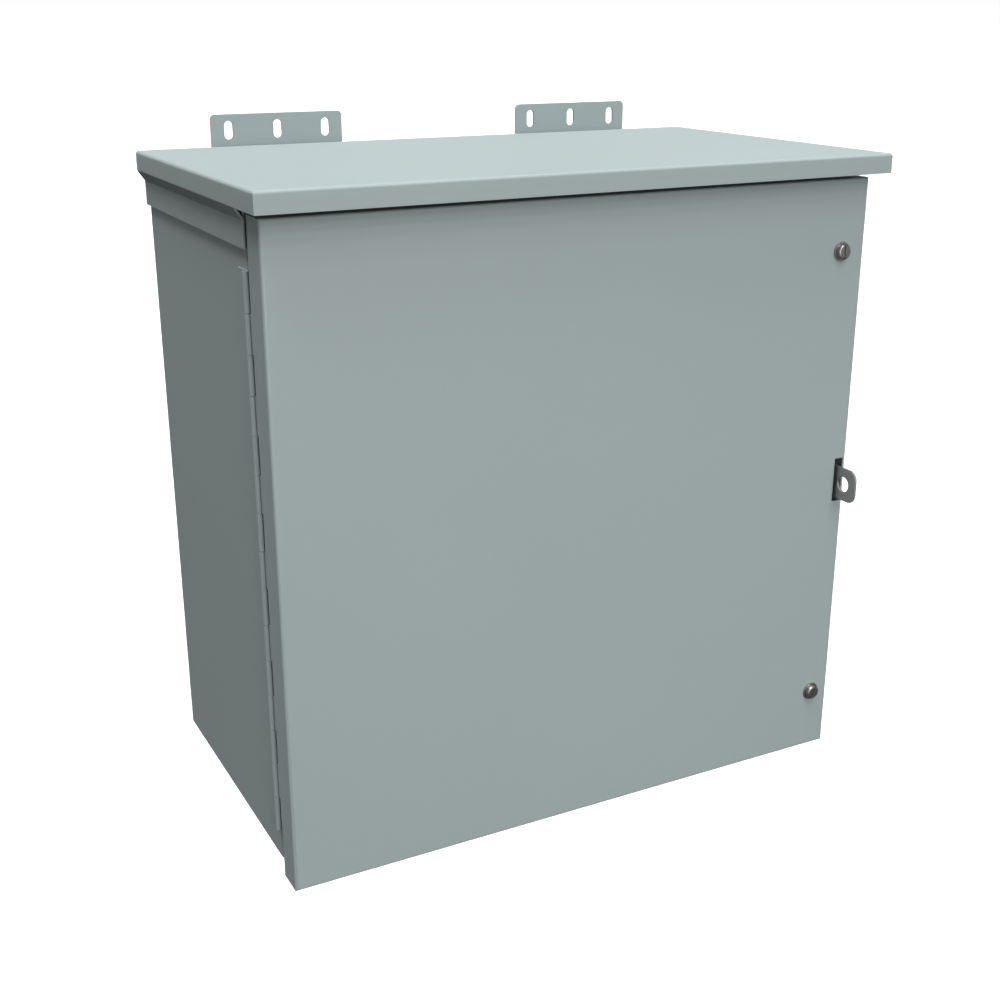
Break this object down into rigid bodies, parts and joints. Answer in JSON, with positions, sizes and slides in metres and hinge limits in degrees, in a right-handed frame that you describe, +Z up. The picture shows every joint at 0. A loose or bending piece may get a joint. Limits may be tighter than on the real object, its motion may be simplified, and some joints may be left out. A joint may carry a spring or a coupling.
{
  "type": "industrial switchboard cabinet",
  "caption": "Wall-mounted sheet-steel electrical cabinet with an overhanging drip shield, a side-hinged cover, captive cover screws and a padlock staple.",
  "frame": {"origin": "centre of the body's back face, which lies on the wall", "axes": "+Z up, +Y into the wall so the cover faces -Y, +X towards the lock side"},
  "size_m": [0.6306, 0.371, 0.6932],
  "materials": {
    "body_paint": "smooth light grey-green powder coat",
    "panel_paint": "smooth white powder coat",
    "plated_steel": "zinc-plated sheet steel, slightly dull",
    "screw_steel": "bright plated steel",
    "bare_stud": "zinc-plated fastener steel"
  },
  "bodies": {
    "cabinet": {"body_wrap": "body_paint", "top_plate": "body_paint", "bottom_plate": "body_paint", "opening_frame": "body_paint", "drip_shield": "body_paint", "top_left_foot": "body_paint", "top_right_foot": "body_paint", "bottom_left_foot": "body_paint", "bottom_right_foot": "body_paint", "hinge_body_leaf": "body_paint", "hinge_pin": "body_paint", "padlock_staple": "plated_steel", "upper_weld_nut": "plated_steel", "lower_weld_nut": "plated_steel", "inner_panel": "panel_paint", "panel_studs": "bare_stud", "panel_washers": "bare_stud", "panel_nuts": "bare_stud", "body_earth_stud": "bare_stud", "body_earth_washer": "bare_stud", "body_earth_nut": "bare_stud"},
    "door": {"door_panel": "body_paint", "hinge_door_leaf": "body_paint", "door_earth_stud": "bare_stud", "door_earth_washer": "bare_stud", "door_earth_nut": "bare_stud"},
    "upper_screw_slide": {"upper_screw_washer": "screw_steel"},
    "upper_screw": {"upper_cover_screw": "screw_steel", "upper_screw_retainer": "screw_steel"},
    "lower_screw_slide": {"lower_screw_washer": "screw_steel"},
    "lower_screw": {"lower_cover_screw": "screw_steel", "lower_screw_retainer": "screw_steel"}
  },
  "joints": [
    {"name": "door_swing", "type": "hinge", "parent": "cabinet", "child": "door", "pos_m": [-0.3074, -0.3051, -0.01275], "axis": [0, 0, -1], "range_deg": [0, 140]},
    {"name": "upper_screw_travel", "type": "slide", "parent": "door", "child": "upper_screw_slide", "axis": [0, -1, 0], "range_m": [0, 0.007]},
    {"name": "upper_screw_turn", "type": "hinge", "parent": "upper_screw_slide", "child": "upper_screw", "pos_m": [0.2782, -0.3437, 0.2229], "axis": [0, -1, 0], "range_deg": [0, 1986.3]},
    {"name": "lower_screw_travel", "type": "slide", "parent": "door", "child": "lower_screw_slide", "axis": [0, -1, 0], "range_m": [0, 0.007]},
    {"name": "lower_screw_turn", "type": "hinge", "parent": "lower_screw_slide", "child": "lower_screw", "pos_m": [0.2839, -0.3437, -0.2531], "axis": [0, -1, 0], "range_deg": [0, 1986.3]}
  ],
  "couplings": [
    {"joint": "upper_screw_turn", "follows": "upper_screw_travel", "rad_per_m": 4947.4},
    {"joint": "lower_screw_turn", "follows": "lower_screw_travel", "rad_per_m": 4947.4}
  ]
}
